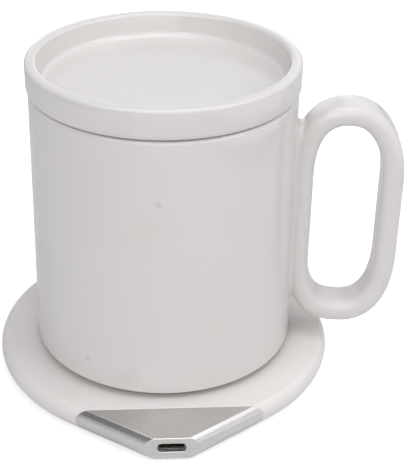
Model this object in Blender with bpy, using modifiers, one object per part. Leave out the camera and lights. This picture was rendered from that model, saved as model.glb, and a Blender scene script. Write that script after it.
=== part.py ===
# Mug warmer set: a flat warming pad with a pointed metal front, a mug with a loop handle, and
# a tray-shaped lid. The origin is on the mug's axis, on the surface that the pad stands on.
# +Z is up, the pad's point and its inlet face -Y, and the mug is turned so that its handle
# points mug_turn away from +X.
# Every length is in metres.

import math

import bmesh
import bpy

# Shared values
gap = 0.0003
overrun = 0.002
merge_distance = 0.00001

# Mug: mug_radius is at the lip, and the wall leans out by mug_lean down to its lower edge
mug_radius = 0.0437
mug_lean = 0.0009
mug_height = 0.0918
mug_wall = 0.0042
mug_floor = 0.0075
mug_edge_round = 0.0005
foot_ring_height = 0.002
foot_ring_inset = 0.0034
mug_lip_round = 0.0012
mug_inner_round = 0.006
mug_turn = math.radians(-5.7)

# Loop handle, measured from the mug's wall and from its bottom
handle_reach = 0.0357
handle_length = 0.0814
handle_middle = 0.0475
handle_band = 0.0071
handle_width = 0.0138
handle_round = 0.0032
handle_end = 0.0277
handle_end_share = 0.82
handle_sink = 0.001

# Metal disc in the mug's foot
disc_radius = 0.0325
disc_thickness = 0.00075
disc_setback = 0.0002

# Lid: it stands out past the mug's lip by lid_overhang
lid_overhang = 0.0006
lid_height = 0.0101
lid_rim = 0.0037
lid_floor = 0.004
lid_dish_depth = 0.008
lid_dish_round = 0.003
lid_rim_round = 0.0018
lid_edge_round = 0.0021
lid_plug_depth = 0.0043
lid_plug_wall = 0.003
lid_plug_clearance = 0.0006

# Pad: its flat front face lies nose_reach ahead of its round, and the side faces of the point
# run at side_angle to that face
pad_radius = 0.0581
nose_reach = 0.0066
pad_thickness = 0.008
pad_edge_bulge = 0.0021
pad_wall = 0.0014
pad_top_plate = 0.0016
base_plate = 0.00125
side_angle = math.radians(35.4)

# Silicone foot
foot_thickness = 0.0007
foot_inset = 0.005

# Metal trim on the point
trim_depth = 0.0153
trim_wall = 0.0011
trim_top_plate = 0.0012
trim_front_wall = 0.001

# Inlet
usb_width = 0.00894
usb_height = 0.00316
usb_wall = 0.0003
usb_length = 0.00735
usb_corner = 0.0012
usb_above_pad_bottom = 0.00425
port_clearance = 0.00005
tongue_width = 0.0066
tongue_thickness = 0.0007
tongue_length = 0.0027
tongue_block_length = 0.0035

# Circuit board and what is on it
board_thickness = 0.0008
board_neck_width = 0.014
board_neck_length = 0.0125
board_width = 0.034
board_length = 0.0325
board_shoulder = 0.004
board_front_gap = 0.0006
chip_row_share = 0.66
chip_side = 0.005
chip_height = 0.0009
inductor_side = 0.006
inductor_height = 0.0026
inductor_bevel = 0.0006
capacitor_length = 0.0032
capacitor_width = 0.0025
capacitor_height = 0.0018
capacitor_count = 3
capacitor_pitch = 0.0055
small_bevel = 0.0002

# Coil, its ferrite and its tray: the ferrite keeps ferrite_inset from the pad's edge, and the
# coil lies coil_inset inside the ferrite's edge. The coil's bore is a share of its own radius.
coil_inset = 0.0015
coil_bore_share = 0.4
coil_thickness = 0.0012
ferrite_inset = 0.0341
ferrite_thickness = 0.0008
tray_wall = 0.0015
tray_floor = 0.0019
tray_bore_radius = 0.006
thermistor_radius = 0.0016

# Screws and their bosses
screw_circle_inset = 0.0121
screw_head_radius = 0.0016
screw_head_height = 0.0009
screw_shank_radius = 0.0008
screw_length = 0.0054
screw_setback = 0.00015
socket_radius = 0.0007
socket_depth = 0.0004
boss_radius = 0.003
post_radius = 0.0024
base_boss_height = 0.00135
screw_angle = math.radians(40)
trim_screw_x = 0.011
trim_screw_setback = 0.0112

# Heights, from the standing surface up
pad_bottom = foot_thickness + gap
pad_top = pad_bottom + pad_thickness
base_top = pad_bottom + base_plate
shell_bottom = base_top + gap
shell_ceiling = pad_top - pad_top_plate
trim_ceiling = pad_top - trim_top_plate
mug_bottom = pad_top + gap
lid_bottom = mug_bottom + mug_height + gap
usb_middle = pad_bottom + usb_above_pad_bottom
board_top = usb_middle - usb_height / 2 - gap
board_bottom = board_top - board_thickness
part_bottom = board_top + gap
tray_bottom = base_top + gap
ferrite_bottom = tray_bottom + tray_floor + gap
coil_bottom = ferrite_bottom + ferrite_thickness + gap
coil_top = coil_bottom + coil_thickness
base_boss_top = base_top + base_boss_height
post_bottom = base_boss_top + gap
screw_bottom = pad_bottom + screw_setback
screw_top = screw_bottom + screw_length
counterbore_top = screw_bottom + screw_head_height + gap
pilot_top = screw_top + gap

# Radii inside the pad
screw_circle_radius = pad_radius - screw_circle_inset
ferrite_radius = pad_radius - ferrite_inset
coil_outer_radius = ferrite_radius - coil_inset
coil_inner_radius = coil_outer_radius * coil_bore_share

# Places along Y, as distances from the origin towards the point
pad_front = pad_radius + nose_reach
trim_back = pad_front - trim_depth
trim_screw_y = pad_front - trim_screw_setback
usb_front = pad_front - trim_front_wall - gap
usb_back = usb_front - usb_length
board_front = pad_front - trim_front_wall - board_front_gap

pad_steps = 48
round_steps = 48
handle_steps = 12
small_steps = 12
edge_steps = 5
corner_steps = 3


# Scene

def clear_scene():
    for old in list(bpy.data.objects):
        bpy.data.objects.remove(old)


def new_collection(name, helper):
    collection = bpy.data.collections.new(name)
    bpy.context.scene.collection.children.link(collection)
    collection.hide_render = helper
    return collection


def material(name, color, roughness, metallic):
    made = bpy.data.materials.new(name)
    made.use_nodes = True
    shader = made.node_tree.nodes["Principled BSDF"]
    shader.inputs["Base Color"].default_value = (*color, 1)
    shader.inputs["Roughness"].default_value = roughness
    shader.inputs["Metallic"].default_value = metallic
    made.diffuse_color = (*color, 1)
    return made


def add_part(name, mesh, finish, carrier=None):
    part = bpy.data.objects.new(name, mesh)
    mesh.materials.append(finish)
    parts.objects.link(part)
    part.parent = carrier
    return part


def add_cutter(name, mesh, carrier=None):
    cutter = bpy.data.objects.new(name, mesh)
    cutters.objects.link(cutter)
    cutter.hide_render = True
    cutter.display_type = "WIRE"
    cutter.parent = carrier
    return cutter


def carrier_at(name, height, turned=0, carrier=None):
    empty = bpy.data.objects.new(name, None)
    parts.objects.link(empty)
    empty.location.z = height
    empty.rotation_euler.z = turned
    empty.parent = carrier
    return empty


# The exact solver leaves open edges on the mug and on the pad's shells and trim.

def boolean(part, other, operation, solver="EXACT"):
    modifier = part.modifiers.new(f"{operation.title()} {other.name}", "BOOLEAN")
    modifier.operation = operation
    modifier.object = other
    modifier.solver = solver


def shade(part):
    part.data.shade_smooth()
    part.data.set_sharp_from_angle(angle=math.radians(35))


# Shapes

def arc(center_x, center_z, radius, start, end, steps=corner_steps):
    points = []
    for step in range(steps + 1):
        angle = math.radians(start + (end - start) * step / steps)
        points.append((center_x + radius * math.cos(angle), center_z + radius * math.sin(angle)))
    return points


def rounded_rectangle(width, height, radius):
    x = width / 2 - radius
    z = height / 2 - radius
    return (arc(x, z, radius, 0, 90) + arc(-x, z, radius, 90, 180)
            + arc(-x, -z, radius, 180, 270) + arc(x, -z, radius, 270, 360))


def turn_mesh(name, profile, closed):
    mesh = bpy.data.meshes.new(name)
    edges = [(i, i + 1) for i in range(len(profile) - 1)]
    if closed:
        edges.append((len(profile) - 1, 0))
    mesh.from_pydata([(radius, 0, height) for radius, height in profile], edges, [])
    return mesh


def turn(part, steps):
    screw = part.modifiers.new("Turn", "SCREW")
    screw.steps = steps
    screw.render_steps = steps
    screw.use_merge_vertices = True
    screw.merge_threshold = merge_distance
    screw.use_smooth_shade = True


def turned_part(name, profile, finish, steps=round_steps, closed=False, carrier=None):
    part = add_part(name, turn_mesh(name, profile, closed), finish, carrier)
    turn(part, steps)
    return part


def turned_cutter(name, profile, steps=small_steps):
    cutter = add_cutter(name, turn_mesh(name, profile, False))
    turn(cutter, steps)
    return cutter


def rod_profile(radius, low, high):
    return [(0, high), (radius, high), (radius, low), (0, low)]


def ring_profile(inner_radius, outer_radius, low, high):
    return [(outer_radius, high), (outer_radius, low), (inner_radius, low), (inner_radius, high)]


def skin_mesh(name, rings):
    shape = bmesh.new()
    loops = [[shape.verts.new(point) for point in ring] for ring in rings]
    for lower, upper in zip(loops, loops[1:]):
        for i in range(len(lower)):
            j = (i + 1) % len(lower)
            shape.faces.new((lower[i], lower[j], upper[j], upper[i]))
    shape.faces.new(loops[0])
    shape.faces.new(loops[-1])
    bmesh.ops.recalc_face_normals(shape, faces=shape.faces)
    mesh = bpy.data.meshes.new(name)
    shape.to_mesh(mesh)
    shape.free()
    return mesh


def box_mesh(name, size, bevel=0):
    shape = bmesh.new()
    bmesh.ops.create_cube(shape, size=1)
    bmesh.ops.scale(shape, vec=size, verts=shape.verts)
    if bevel:
        bmesh.ops.bevel(shape, geom=shape.edges, offset=bevel, segments=1,
                        affect="EDGES", profile=0.5)
    mesh = bpy.data.meshes.new(name)
    shape.to_mesh(mesh)
    shape.free()
    return mesh


def box_between(name, low, high):
    size = [b - a for a, b in zip(low, high)]
    cutter = add_cutter(name, box_mesh(name, size))
    cutter.location = [(a + b) / 2 for a, b in zip(low, high)]
    return cutter


# Pad outline: an arc of the round pad, and straight sides that leave it at a tangent and run
# to the front face. A flat inset moves every side but the front face inwards.

def pad_outline(inset, front):
    radius = pad_radius - inset
    half_width = (radius - front * math.cos(side_angle)) / math.sin(side_angle)
    points = []
    for step in range(pad_steps + 1):
        angle = side_angle + (2 * math.pi - 2 * side_angle) * step / pad_steps
        points.append((radius * math.sin(angle), -radius * math.cos(angle)))
    return points + [(-half_width, -front), (half_width, -front)]


def edge_inset(height):
    half = pad_thickness / 2
    radius = (half * half + pad_edge_bulge * pad_edge_bulge) / (2 * pad_edge_bulge)
    offset = height - pad_bottom - half
    return radius - math.sqrt(radius * radius - offset * offset)


def pad_rings(low, high):
    rings = []
    for step in range(edge_steps + 1):
        height = low + (high - low) * step / edge_steps
        rings.append([(x, y, height) for x, y in pad_outline(edge_inset(height), pad_front)])
    return rings


def straight_rings(inset, front, low, high):
    outline = pad_outline(inset, front)
    return [[(x, y, low) for x, y in outline], [(x, y, high) for x, y in outline]]


def inlet_rings(width, height, corner, back, front):
    outline = rounded_rectangle(width, height, corner)
    return [[(x, -front, usb_middle + z) for x, z in outline],
            [(x, -back, usb_middle + z) for x, z in outline]]


# Mug, turned, standing on a foot ring, with its loop handle joined on, and the metal disc
# inside that ring

def mug_profile():
    inner_radius = mug_radius - mug_wall
    edge_radius = mug_radius + mug_lean
    ring_radius = edge_radius - foot_ring_inset
    recess_radius = disc_radius + gap
    recess_depth = disc_setback + disc_thickness + gap
    lip = mug_height - mug_lip_round
    return ([(0, mug_floor)]
            + arc(inner_radius - mug_inner_round, mug_floor + mug_inner_round,
                  mug_inner_round, -90, 0)
            + arc(inner_radius + mug_lip_round, lip, mug_lip_round, 180, 90)
            + arc(mug_radius - mug_lip_round, lip, mug_lip_round, 90, 0)
            + arc(edge_radius - mug_edge_round, foot_ring_height + mug_edge_round,
                  mug_edge_round, 0, -90)
            + [(ring_radius, foot_ring_height), (ring_radius, 0), (recess_radius, 0),
               (recess_radius, recess_depth), (0, recess_depth)])


# The loop has straight sides, and ends that are ellipses squared off a little: the lower
# handle_end_share is, the squarer they are.

def handle_path():
    half_width = (handle_reach + handle_sink - handle_band) / 2
    half_height = (handle_length - handle_band) / 2
    end = handle_end - handle_band / 2
    center = mug_radius - handle_sink + handle_band / 2 + half_width
    points = []
    for side in (1, -1):
        for step in range(handle_steps + 1):
            angle = math.pi * step / handle_steps
            across = math.copysign(abs(math.cos(angle)) ** handle_end_share, math.cos(angle))
            along = abs(math.sin(angle)) ** handle_end_share
            z = handle_middle + side * (half_height - end + end * along)
            points.append((center + side * half_width * across, z))
    return points


def handle_mesh():
    section = bpy.data.curves.new("handle_section", "CURVE")
    section.dimensions = "2D"
    outline = rounded_rectangle(handle_band, handle_width, handle_round)
    spline = section.splines.new("POLY")
    spline.points.add(len(outline) - 1)
    for point, (x, y) in zip(spline.points, outline):
        point.co = (x, y, 0, 1)
    spline.use_cyclic_u = True
    section_object = bpy.data.objects.new("handle_section", section)
    loop = bpy.data.curves.new("handle_loop", "CURVE")
    loop.dimensions = "2D"
    points = handle_path()
    spline = loop.splines.new("POLY")
    spline.points.add(len(points) - 1)
    for point, (x, z) in zip(spline.points, points):
        point.co = (x, z, 0, 1)
    spline.use_cyclic_u = True
    loop.bevel_mode = "OBJECT"
    loop.bevel_object = section_object
    loop_object = bpy.data.objects.new("handle_loop", loop)
    for guide in (section_object, loop_object):
        cutters.objects.link(guide)
    bpy.context.view_layer.update()
    graph = bpy.context.evaluated_depsgraph_get()
    mesh = bpy.data.meshes.new_from_object(loop_object.evaluated_get(graph))
    for guide in (loop_object, section_object):
        bpy.data.objects.remove(guide)
    shape = bmesh.new()
    shape.from_mesh(mesh)
    bmesh.ops.remove_doubles(shape, verts=shape.verts, dist=merge_distance)
    bmesh.ops.recalc_face_normals(shape, faces=shape.faces)
    shape.to_mesh(mesh)
    shape.free()
    return mesh


def build_mug():
    mug = turned_part("mug", mug_profile(), glaze, carrier=mug_carrier)
    handle = add_cutter("handle", handle_mesh(), mug_carrier)
    handle.rotation_euler.x = math.pi / 2
    boolean(mug, handle, "UNION", "MANIFOLD")
    low = disc_setback
    profile = rod_profile(disc_radius, low, low + disc_thickness)
    turned_part("heating_disc", profile, steel, carrier=mug_carrier)


# Lid, turned: a dish on top, a rim, a rounded lower edge and a hollow plug

def lid_profile():
    rim_top = lid_height
    dish_floor = rim_top - lid_dish_depth
    underside = dish_floor - lid_floor
    lid_radius = mug_radius + lid_overhang
    dish_radius = lid_radius - lid_rim
    plug_radius = mug_radius - mug_wall - lid_plug_clearance
    return ([(0, dish_floor)]
            + arc(dish_radius - lid_dish_round, dish_floor + lid_dish_round,
                  lid_dish_round, -90, 0)
            + arc(dish_radius + lid_rim_round, rim_top - lid_rim_round, lid_rim_round, 180, 90)
            + arc(lid_radius - lid_rim_round, rim_top - lid_rim_round, lid_rim_round, 90, 0)
            + arc(lid_radius - lid_edge_round, lid_edge_round, lid_edge_round, 0, -90)
            + [(plug_radius, 0), (plug_radius, -lid_plug_depth),
               (plug_radius - lid_plug_wall, -lid_plug_depth),
               (plug_radius - lid_plug_wall, underside), (0, underside)])


def build_lid():
    turned_part("lid", lid_profile(), glaze, carrier=lid_carrier)


# Pad shells, trim and foot

def screw_places():
    reach = screw_circle_radius * math.cos(screw_angle)
    rise = screw_circle_radius * math.sin(screw_angle)
    return {
        "shell_screw_1": (reach, rise),
        "shell_screw_2": (-reach, rise),
        "shell_screw_3": (-reach, -rise),
        "shell_screw_4": (reach, -rise),
        "trim_screw_1": (trim_screw_x, -trim_screw_y),
        "trim_screw_2": (-trim_screw_x, -trim_screw_y),
    }


def nose_zone(name, margin):
    wide = 2 * pad_radius
    return box_between(name, (-wide, -wide, -overrun),
                       (wide, -trim_back + margin, pad_top + overrun))


def join_rod(part, name, radius, low, high, place, operation):
    rod = turned_cutter(name, rod_profile(radius, low, high))
    rod.location = (*place, 0)
    boolean(part, rod, operation, "MANIFOLD")


def build_top_shell():
    shell = add_part("pad_top_shell", skin_mesh("pad_top_shell", pad_rings(shell_bottom, pad_top)),
                     soft_white)
    rings = straight_rings(pad_edge_bulge + pad_wall, pad_front,
                           shell_bottom - overrun, shell_ceiling)
    cavity = add_cutter("shell_cavity", skin_mesh("shell_cavity", rings))
    boolean(shell, cavity, "DIFFERENCE", "MANIFOLD")
    boolean(shell, nose_zone("nose_of_shell", gap), "DIFFERENCE", "MANIFOLD")
    for name, place in screw_places().items():
        if name.startswith("shell"):
            join_rod(shell, f"{name}_post", post_radius, post_bottom,
                     shell_ceiling + pad_top_plate / 2, place, "UNION")
            join_rod(shell, f"{name}_pilot", screw_shank_radius + gap, post_bottom - overrun,
                     pilot_top, place, "DIFFERENCE")
    shade(shell)


def build_trim():
    trim = add_part("nose_trim", skin_mesh("nose_trim", pad_rings(pad_bottom, pad_top)), aluminium)
    boolean(trim, nose_zone("nose_of_trim", 0), "INTERSECT", "MANIFOLD")
    rings = straight_rings(pad_edge_bulge + trim_wall, pad_front - trim_front_wall,
                           pad_bottom - overrun, trim_ceiling)
    cavity = add_cutter("trim_cavity", skin_mesh("trim_cavity", rings))
    boolean(trim, cavity, "DIFFERENCE", "MANIFOLD")
    for name, place in screw_places().items():
        if name.startswith("trim"):
            join_rod(trim, f"{name}_post", post_radius, post_bottom,
                     trim_ceiling + trim_top_plate / 2, place, "UNION")
            join_rod(trim, f"{name}_pilot", screw_shank_radius + gap, post_bottom - overrun,
                     pilot_top, place, "DIFFERENCE")
    grow = 2 * port_clearance
    rings = inlet_rings(usb_width + grow, usb_height + grow, usb_corner,
                        pad_front - trim_front_wall - overrun, pad_front + overrun)
    boolean(trim, add_cutter("port", skin_mesh("port", rings)), "DIFFERENCE", "MANIFOLD")
    shade(trim)


def build_bottom_shell():
    base = add_part("pad_bottom_shell",
                    skin_mesh("pad_bottom_shell", pad_rings(pad_bottom, base_top)), soft_white)
    skirt = nose_zone("nose_of_base", gap)
    rings = straight_rings(pad_edge_bulge + trim_wall + gap, pad_front - trim_front_wall - gap,
                           -2 * overrun, pad_top + 2 * overrun)
    base_tongue = add_cutter("base_tongue", skin_mesh("base_tongue", rings))
    boolean(skirt, base_tongue, "DIFFERENCE", "MANIFOLD")
    boolean(base, skirt, "DIFFERENCE", "MANIFOLD")
    for name, place in screw_places().items():
        join_rod(base, f"{name}_boss", boss_radius, base_top - base_plate / 2, base_boss_top,
                 place, "UNION")
        join_rod(base, f"{name}_counterbore", screw_head_radius + gap, pad_bottom - overrun,
                 counterbore_top, place, "DIFFERENCE")
        join_rod(base, f"{name}_hole", screw_shank_radius + gap, pad_bottom - overrun,
                 base_boss_top + overrun, place, "DIFFERENCE")
    shade(base)


def build_foot():
    rings = straight_rings(foot_inset, pad_front - foot_inset, 0, foot_thickness)
    add_part("foot_pad", skin_mesh("foot_pad", rings), silicone)


def screw_profile():
    head_top = screw_head_height
    return [(0, screw_length), (screw_shank_radius, screw_length), (screw_shank_radius, head_top),
            (screw_head_radius, head_top), (screw_head_radius, 0), (socket_radius, 0),
            (socket_radius, socket_depth), (0, socket_depth)]


def build_screws():
    for name, place in screw_places().items():
        screw = turned_part(name, screw_profile(), screw_steel, small_steps)
        screw.location = (*place, screw_bottom)


# Inlet

def build_inlet():
    shell = add_part("usb_shell",
                     skin_mesh("usb_shell", inlet_rings(usb_width, usb_height, usb_corner,
                                                        usb_back, usb_front)), tin_plate)
    inside = inlet_rings(usb_width - 2 * usb_wall, usb_height - 2 * usb_wall,
                         usb_corner - usb_wall, usb_back - overrun, usb_front + overrun)
    boolean(shell, add_cutter("usb_hollow", skin_mesh("usb_hollow", inside)), "DIFFERENCE")
    shade(shell)
    block_front = usb_back + tongue_block_length
    shrink = 2 * usb_wall + 2 * gap
    rings = inlet_rings(usb_width - shrink, usb_height - shrink, usb_corner - usb_wall - gap,
                        usb_back, block_front)
    tongue = add_part("usb_tongue", skin_mesh("usb_tongue", rings), black_plastic)
    blade = box_between("usb_blade",
                        (-tongue_width / 2, -block_front - tongue_length,
                         usb_middle - tongue_thickness / 2),
                        (tongue_width / 2, -block_front + tongue_block_length / 2,
                         usb_middle + tongue_thickness / 2))
    boolean(tongue, blade, "UNION")


# Circuit board

def build_board():
    neck = board_neck_width / 2
    half = board_width / 2
    shoulder = board_front - board_neck_length
    back = board_front - board_length
    front_half = (pad_radius - pad_edge_bulge - trim_wall - gap
                  - board_front * math.cos(side_angle)) / math.sin(side_angle)
    corner = board_front - (neck - front_half) * math.tan(side_angle)
    tip = [(front_half, -board_front), (neck, -corner)]
    if front_half >= neck:  # the point is wide enough for square corners
        tip = [(neck, -board_front)]
    right = tip + [(neck, -shoulder), (half, -shoulder + board_shoulder), (half, -back)]
    outline = right + [(-x, y) for x, y in reversed(right)]
    rings = [[(x, y, board_bottom) for x, y in outline], [(x, y, board_top) for x, y in outline]]
    add_part("main_board", skin_mesh("main_board", rings), circuit_green)
    chip_y = -(board_front - chip_row_share * board_length)
    place_on_board("controller_chip", (chip_side, chip_side, chip_height), small_bevel,
                   (-board_width / 4, chip_y), chip_black)
    place_on_board("driver_chip", (chip_side, chip_side, chip_height), small_bevel,
                   (board_width / 4, chip_y), chip_black)
    place_on_board("power_inductor", (inductor_side, inductor_side, inductor_height),
                   inductor_bevel, (0, -(usb_back - inductor_side)), ferrite_grey)
    for i in range(capacitor_count):
        x = (i - (capacitor_count - 1) / 2) * capacitor_pitch
        place_on_board(f"resonant_capacitor_{i + 1}",
                       (capacitor_length, capacitor_width, capacitor_height), small_bevel,
                       (x, -(back + capacitor_width)), capacitor_tan)


def place_on_board(name, size, bevel, place, finish):
    part = add_part(name, box_mesh(name, size, bevel), finish)
    part.location = (*place, part_bottom + size[2] / 2)


# Coil, with its ferrite, its tray and its temperature sensor

def build_coil():
    turned_part("transmitter_coil",
                ring_profile(coil_inner_radius, coil_outer_radius, coil_bottom, coil_top),
                copper, closed=True)
    turned_part("ferrite_sheet",
                rod_profile(ferrite_radius, ferrite_bottom, ferrite_bottom + ferrite_thickness),
                ferrite_grey)
    inner = ferrite_radius + gap
    outer = inner + tray_wall
    floor_top = tray_bottom + tray_floor
    turned_part("coil_tray",
                [(outer, coil_top), (outer, tray_bottom), (tray_bore_radius, tray_bottom),
                 (tray_bore_radius, floor_top), (inner, floor_top), (inner, coil_top)],
                black_plastic, closed=True)
    turned_part("thermistor", rod_profile(thermistor_radius, coil_bottom, coil_top),
                black_plastic, small_steps)


clear_scene()
parts = new_collection("mug_warmer", False)
cutters = new_collection("cutters", True)

glaze = material("white_glaze", (0.72, 0.71, 0.7), 0.28, 0)
steel = material("disc_steel", (0.6, 0.6, 0.6), 0.35, 1)
soft_white = material("soft_touch_white", (0.74, 0.72, 0.71), 0.55, 0)
aluminium = material("blasted_aluminium", (0.6, 0.6, 0.6), 0.38, 1)
tin_plate = material("inlet_plating", (0.7, 0.7, 0.7), 0.3, 1)
black_plastic = material("black_plastic", (0.02, 0.02, 0.02), 0.5, 0)
circuit_green = material("circuit_green", (0.03, 0.16, 0.07), 0.45, 0)
chip_black = material("chip_black", (0.03, 0.03, 0.03), 0.6, 0)
ferrite_grey = material("ferrite_grey", (0.09, 0.09, 0.09), 0.7, 0)
capacitor_tan = material("capacitor_tan", (0.4, 0.27, 0.16), 0.5, 0)
copper = material("coil_copper", (0.72, 0.35, 0.2), 0.35, 1)
screw_steel = material("screw_steel", (0.5, 0.5, 0.5), 0.3, 1)
silicone = material("foot_silicone", (0.3, 0.3, 0.3), 0.8, 0)

mug_carrier = carrier_at("mug_lift", mug_bottom, mug_turn)
lid_carrier = carrier_at("lid_lift", lid_bottom - mug_bottom, carrier=mug_carrier)

build_mug()
build_lid()
build_top_shell()
build_trim()
build_bottom_shell()
build_foot()
build_screws()
build_inlet()
build_board()
build_coil()
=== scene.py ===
import math

import bmesh
import bpy
from mathutils import Matrix, Vector


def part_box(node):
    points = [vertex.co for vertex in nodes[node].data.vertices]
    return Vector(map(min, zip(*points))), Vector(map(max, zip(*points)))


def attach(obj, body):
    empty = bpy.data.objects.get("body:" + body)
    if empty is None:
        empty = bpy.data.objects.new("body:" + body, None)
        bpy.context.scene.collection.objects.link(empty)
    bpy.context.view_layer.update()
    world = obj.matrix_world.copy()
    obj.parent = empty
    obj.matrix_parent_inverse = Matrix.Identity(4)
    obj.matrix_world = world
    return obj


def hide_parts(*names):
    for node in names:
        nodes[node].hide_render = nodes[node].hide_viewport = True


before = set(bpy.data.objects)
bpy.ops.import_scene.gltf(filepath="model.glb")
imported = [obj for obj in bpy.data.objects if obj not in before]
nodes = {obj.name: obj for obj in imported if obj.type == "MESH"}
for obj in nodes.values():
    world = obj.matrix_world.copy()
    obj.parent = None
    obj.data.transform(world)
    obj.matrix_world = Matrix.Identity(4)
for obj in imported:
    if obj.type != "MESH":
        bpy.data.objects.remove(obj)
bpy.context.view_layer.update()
print("frame loaded,", len(nodes), "nodes")

mm = 0.001
weld = 1e-6  # points nearer to each other than this become one


# Small helpers for meshes

def moved(bm, x, y, z=0):
    bmesh.ops.translate(bm, vec=(x, y, z), verts=bm.verts)
    return bm


def turned(bm, angle):
    bmesh.ops.rotate(bm, cent=(0, 0, 0), matrix=Matrix.Rotation(angle, 3, "Z"), verts=bm.verts)
    return bm


def softCorners(corners, steps=6):
    # corners are (x, z, round); each round becomes an arc that meets both sides at a tangent
    points = []
    for i, (x, z, turn) in enumerate(corners):
        if not turn or i in (0, len(corners) - 1):
            points.append((x, z))
            continue
        here = Vector((x, z))
        before = (Vector(corners[i - 1][:2]) - here).normalized()
        after = (Vector(corners[i + 1][:2]) - here).normalized()
        half = before.angle(after) / 2
        centre = here + (before + after).normalized() * (turn / math.sin(half))
        start = here + before * (turn / math.tan(half)) - centre
        swing = start.angle_signed(here + after * (turn / math.tan(half)) - centre)
        for step in range(steps + 1):
            spoke = start.copy()
            spoke.rotate(Matrix.Rotation(-swing * step / steps, 2))
            points.append(tuple(centre + spoke))
    return points


def spun(profile, steps=192, closed=False):
    bm = bmesh.new()
    verts = [bm.verts.new((x, 0, z)) for x, z in profile]
    edges = [bm.edges.new(pair) for pair in zip(verts, verts[1:])]
    if closed:
        edges.append(bm.edges.new((verts[-1], verts[0])))
    bmesh.ops.spin(bm, geom=verts + edges, cent=(0, 0, 0), axis=(0, 0, 1),
                   angle=2 * math.pi, steps=steps, use_merge=True)
    bmesh.ops.remove_doubles(bm, verts=bm.verts, dist=weld)
    bmesh.ops.recalc_face_normals(bm, faces=bm.faces)
    return bm


def turnedDisc(radius, low, high, lowRound, highRound, arcSteps, steps):
    return spun(softCorners([(0, low, 0), (radius, low, lowRound), (radius, high, highRound),
                             (0, high, 0)], arcSteps), steps)


def ringEdges(bm, ring):
    return [bm.edges.get(pair) or bm.edges.new(pair) for pair in zip(ring, ring[1:] + ring[:1])]


def skinned(sections, closed=False):
    # one ring of points after the other, each extruded from the last
    bm = bmesh.new()
    first = [bm.verts.new(point) for point in sections[0]]
    ring = first
    for section in sections[1:] + (sections[:1] if closed else []):
        made = bmesh.ops.extrude_edge_only(bm, edges=ringEdges(bm, ring))["geom"]
        fresh = {v for v in made if isinstance(v, bmesh.types.BMVert)}
        partner = {}
        for vert in fresh:
            for edge in vert.link_edges:
                partner[edge.other_vert(vert)] = vert
        ring = [partner[vert] for vert in ring]
        for vert, point in zip(ring, section):
            vert.co = point
    if closed:
        bmesh.ops.remove_doubles(bm, verts=bm.verts, dist=weld / 10)
    else:
        bm.faces.new(first)
        bm.faces.new(ring)
    bmesh.ops.recalc_face_normals(bm, faces=bm.faces)
    return bm


def arcRing(middles, turn, steps=8):
    # a quarter arc about each of four middles, which together make a rounded bar's outline
    ring = []
    for i, (across, up) in enumerate(middles):
        for step in range(steps + 1):
            angle = math.radians(90 * i + 90 * step / steps)
            ring.append((across + turn * math.cos(angle), up + turn * math.sin(angle)))
    return ring


def bevelled(bm, edges, width, segments):
    bmesh.ops.bevel(bm, geom=edges, offset=width, segments=segments, profile=0.5,
                    affect="EDGES", material=-1, clamp_overlap=True)


def bevelSharp(bm, width, segments=2, degrees=25):
    bevelled(bm, [e for e in bm.edges if len(e.link_faces) == 2
                  and e.calc_face_angle(0) > math.radians(degrees)], width, segments)


def boxed(low, high, bevel=0, segments=2):
    bm = bmesh.new()
    bmesh.ops.create_cube(bm, size=1)
    bmesh.ops.scale(bm, vec=[b - a for a, b in zip(low, high)], verts=bm.verts)
    moved(bm, *[(a + b) / 2 for a, b in zip(low, high)])
    if bevel:
        bevelled(bm, bm.edges[:], bevel, segments)
    return bm


def rodsAt(radius, low, high, places, steps=32):
    return [moved(spun([(0, low), (radius, low), (radius, high), (0, high)], steps), *place)
            for place in places]


def joined(*shapes):
    # several closed shapes in one mesh
    whole = bmesh.new()
    for shape in shapes:
        mesh = bpy.data.meshes.new("joining")
        shape.to_mesh(mesh)
        shape.free()
        whole.from_mesh(mesh)
        bpy.data.meshes.remove(mesh)
    return whole


def dressed(body, *groups):
    # the body takes the first finish, and each group of small shapes the next
    shapes = [body] + [joined(*group) for group in groups]
    for slot, shape in enumerate(shapes):
        for face in shape.faces:
            face.material_index = slot
    return joined(*shapes)


def linked(name, data):
    made = bpy.data.objects.new(name, data)
    bpy.context.scene.collection.objects.link(made)
    return made


def asObject(name, bm):
    mesh = bpy.data.meshes.new(name)
    bm.to_mesh(mesh)
    bm.free()
    return linked(name, mesh)


def carved(bm, cuts, operation="DIFFERENCE"):
    # applies each cut, and gives back the plain result
    work = asObject("work", bm)
    tools = [asObject("tool", cut) for cut in cuts]
    for tool in tools:
        modifier = work.modifiers.new("cut", "BOOLEAN")
        modifier.operation = operation
        modifier.object = tool
        modifier.solver = "MANIFOLD"
    bpy.context.view_layer.update()
    result = bpy.data.meshes.new_from_object(work.evaluated_get(
        bpy.context.evaluated_depsgraph_get()))
    for old in [work] + tools:
        bpy.data.objects.remove(old)
    bm = bmesh.new()
    bm.from_mesh(result)
    bpy.data.meshes.remove(result)
    bmesh.ops.remove_doubles(bm, verts=bm.verts, dist=2 * weld)
    bmesh.ops.dissolve_degenerate(bm, edges=bm.edges, dist=weld)
    return bm


def piece(name, node, bm, finishNames, body="pad", sharp=40):
    made = asObject(name, bm)
    made.data.shade_smooth()
    made.data.set_sharp_from_angle(angle=math.radians(sharp))
    for finish in finishNames:
        made.data.materials.append(finishes[finish])
    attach(made, body)
    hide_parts(node)


# Small helpers for materials

def addNode(tree, kind, sources=None, **settings):
    made = tree.nodes.new(kind)
    for key, value in settings.items():
        setattr(made, key, value)
    for key, value in (sources or {}).items():
        if isinstance(value, bpy.types.NodeSocket):
            tree.links.new(value, made.inputs[key])
        else:
            made.inputs[key].default_value = value
    return made


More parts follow.
